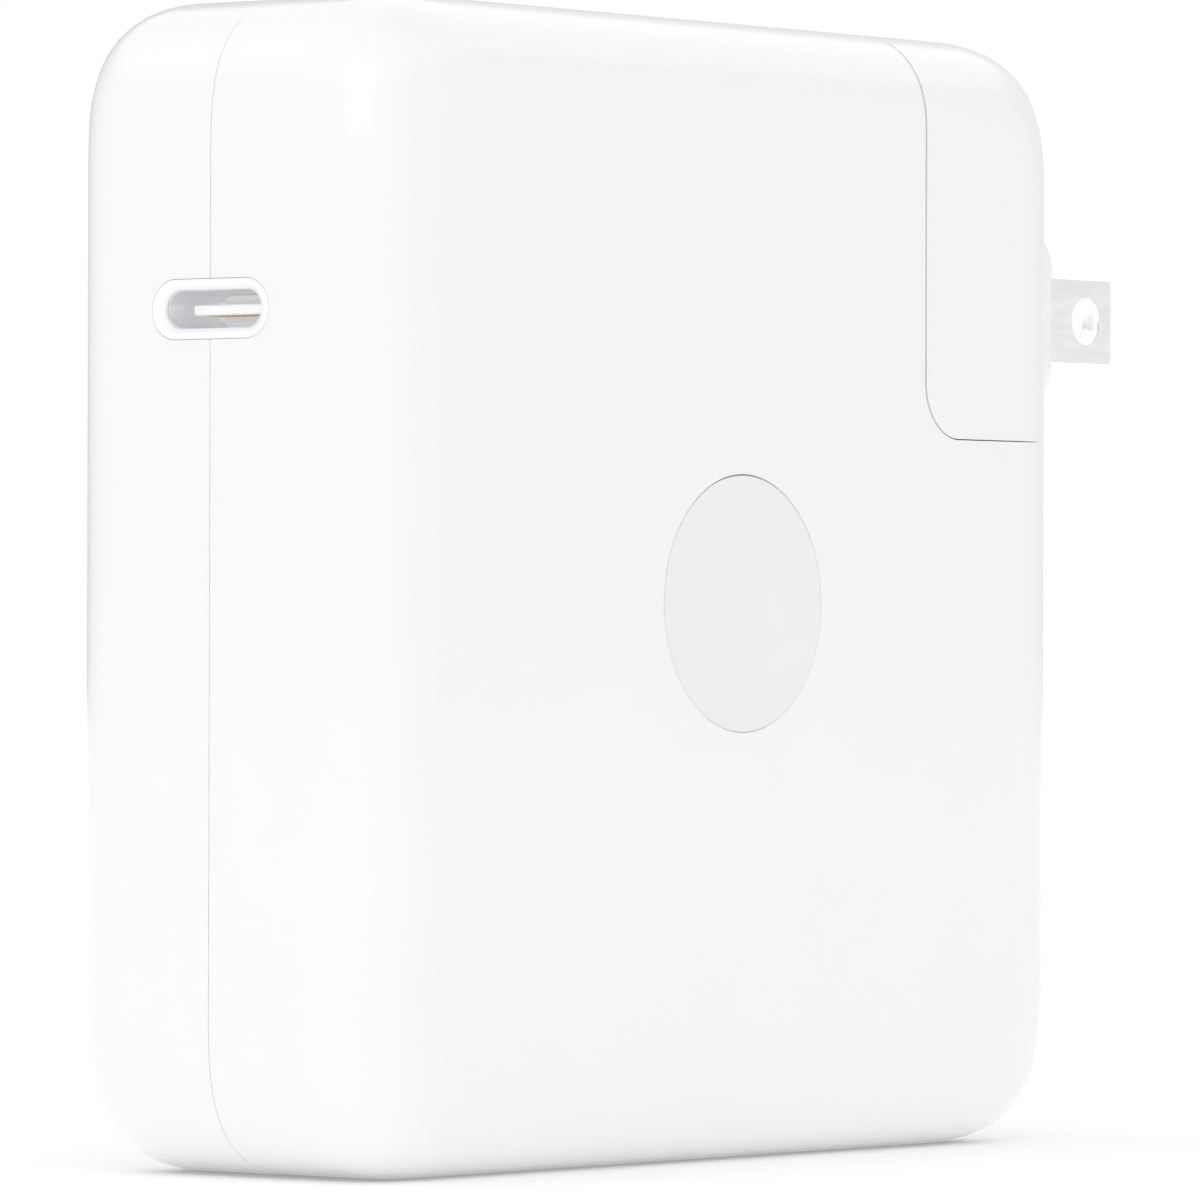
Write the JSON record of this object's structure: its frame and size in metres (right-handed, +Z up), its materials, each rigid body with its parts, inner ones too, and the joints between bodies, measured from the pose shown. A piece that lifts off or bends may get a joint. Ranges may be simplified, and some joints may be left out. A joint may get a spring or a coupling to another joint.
{
  "type": "laptop power adapter",
  "caption": "Square white laptop power adapter with rounded edges, a USB-C port on one narrow side and a lift-off corner plug unit with folding flat mains blades.",
  "frame": {"origin": "middle of the narrow face that the adapter stands on, on the line between its front and rear shells", "axes": "+X along the wide face towards the mains blades, +Y from the front face to the rear face, +Z up, so the plug unit is at the top corner"},
  "size_m": [0.0947, 0.029, 0.08],
  "materials": {
    "front_shell": "gloss",
    "rear_shell": "gloss",
    "plug_housing": "gloss",
    "port_bezel": "gloss",
    "port_steel": "satin",
    "port_tongue": "satin",
    "dark_plastic": "matte",
    "circuit_board": "satin",
    "inlet_plastic": "satin",
    "pin_steel": "satin",
    "stud_steel": "polished",
    "copper": "satin",
    "insulating_film": "satin",
    "spreader_sheet": "satin",
    "thermal_pad": "matte",
    "ferrite": "matte",
    "winding_tape": "satin",
    "film_capacitor": "satin",
    "capacitor_can": "satin",
    "disc_capacitor": "satin",
    "output_can": "satin",
    "wire_cover": "satin",
    "slide_plate": "satin",
    "spring_steel": "satin",
    "contact_brass": "satin",
    "rotor_plastic": "satin",
    "blade_metal": "satin"
  },
  "bodies": {
    "adapter_body": {"front_shell": "front_shell", "rear_shell": "rear_shell", "port_bezel": "port_bezel", "usb_sleeve": "port_steel", "usb_insulator": "port_tongue", "usb_tongue": "port_tongue", "port_board": "circuit_board", "inlet_housing": "inlet_plastic", "inlet_pin_line": "pin_steel", "inlet_pin_neutral": "pin_steel", "mounting_stud": "stud_steel", "stud_nut": "stud_steel", "ground_strap": "copper", "main_board": "circuit_board", "rear_insulation": "insulating_film", "rear_heat_spreader": "spreader_sheet", "front_insulation": "insulating_film", "front_heat_spreader": "spreader_sheet", "thermal_pad": "thermal_pad", "transformer_core": "ferrite", "transformer_winding": "winding_tape", "pfc_inductor_core": "ferrite", "pfc_inductor_winding": "winding_tape", "x_capacitor": "film_capacitor", "fuse": "dark_plastic", "bridge_rectifier": "dark_plastic", "primary_switch": "dark_plastic", "sync_rectifier": "dark_plastic", "bulk_capacitor_1": "capacitor_can", "bulk_capacitor_2": "capacitor_can", "common_mode_choke_1": "copper", "common_mode_choke_2": "copper", "y_capacitor_1": "disc_capacitor", "y_capacitor_2": "disc_capacitor", "output_capacitor_1": "output_can", "output_capacitor_2": "output_can", "output_capacitor_3": "output_can", "line_wire": "wire_cover", "neutral_wire": "wire_cover"},
    "plug_unit": {"plug_housing": "plug_housing", "slide_plate": "slide_plate", "figure_eight_nose": "slide_plate", "detent_spring": "spring_steel", "socket_contact_line": "contact_brass", "socket_contact_neutral": "contact_brass", "blade_contact_line": "contact_brass", "blade_contact_neutral": "contact_brass"},
    "blades": {"prong_rotor": "rotor_plastic", "blade_line": "blade_metal", "blade_neutral": "blade_metal"}
  },
  "joints": [
    {"name": "plug_slide", "type": "slide", "parent": "adapter_body", "child": "plug_unit", "axis": [0, 0, 1], "range_m": [0, 0.045]},
    {"name": "blade_fold", "type": "hinge", "parent": "plug_unit", "child": "blades", "pos_m": [0.037, 0, 0.0586], "axis": [0, -1, 0], "range_deg": [0, 90]}
  ]
}
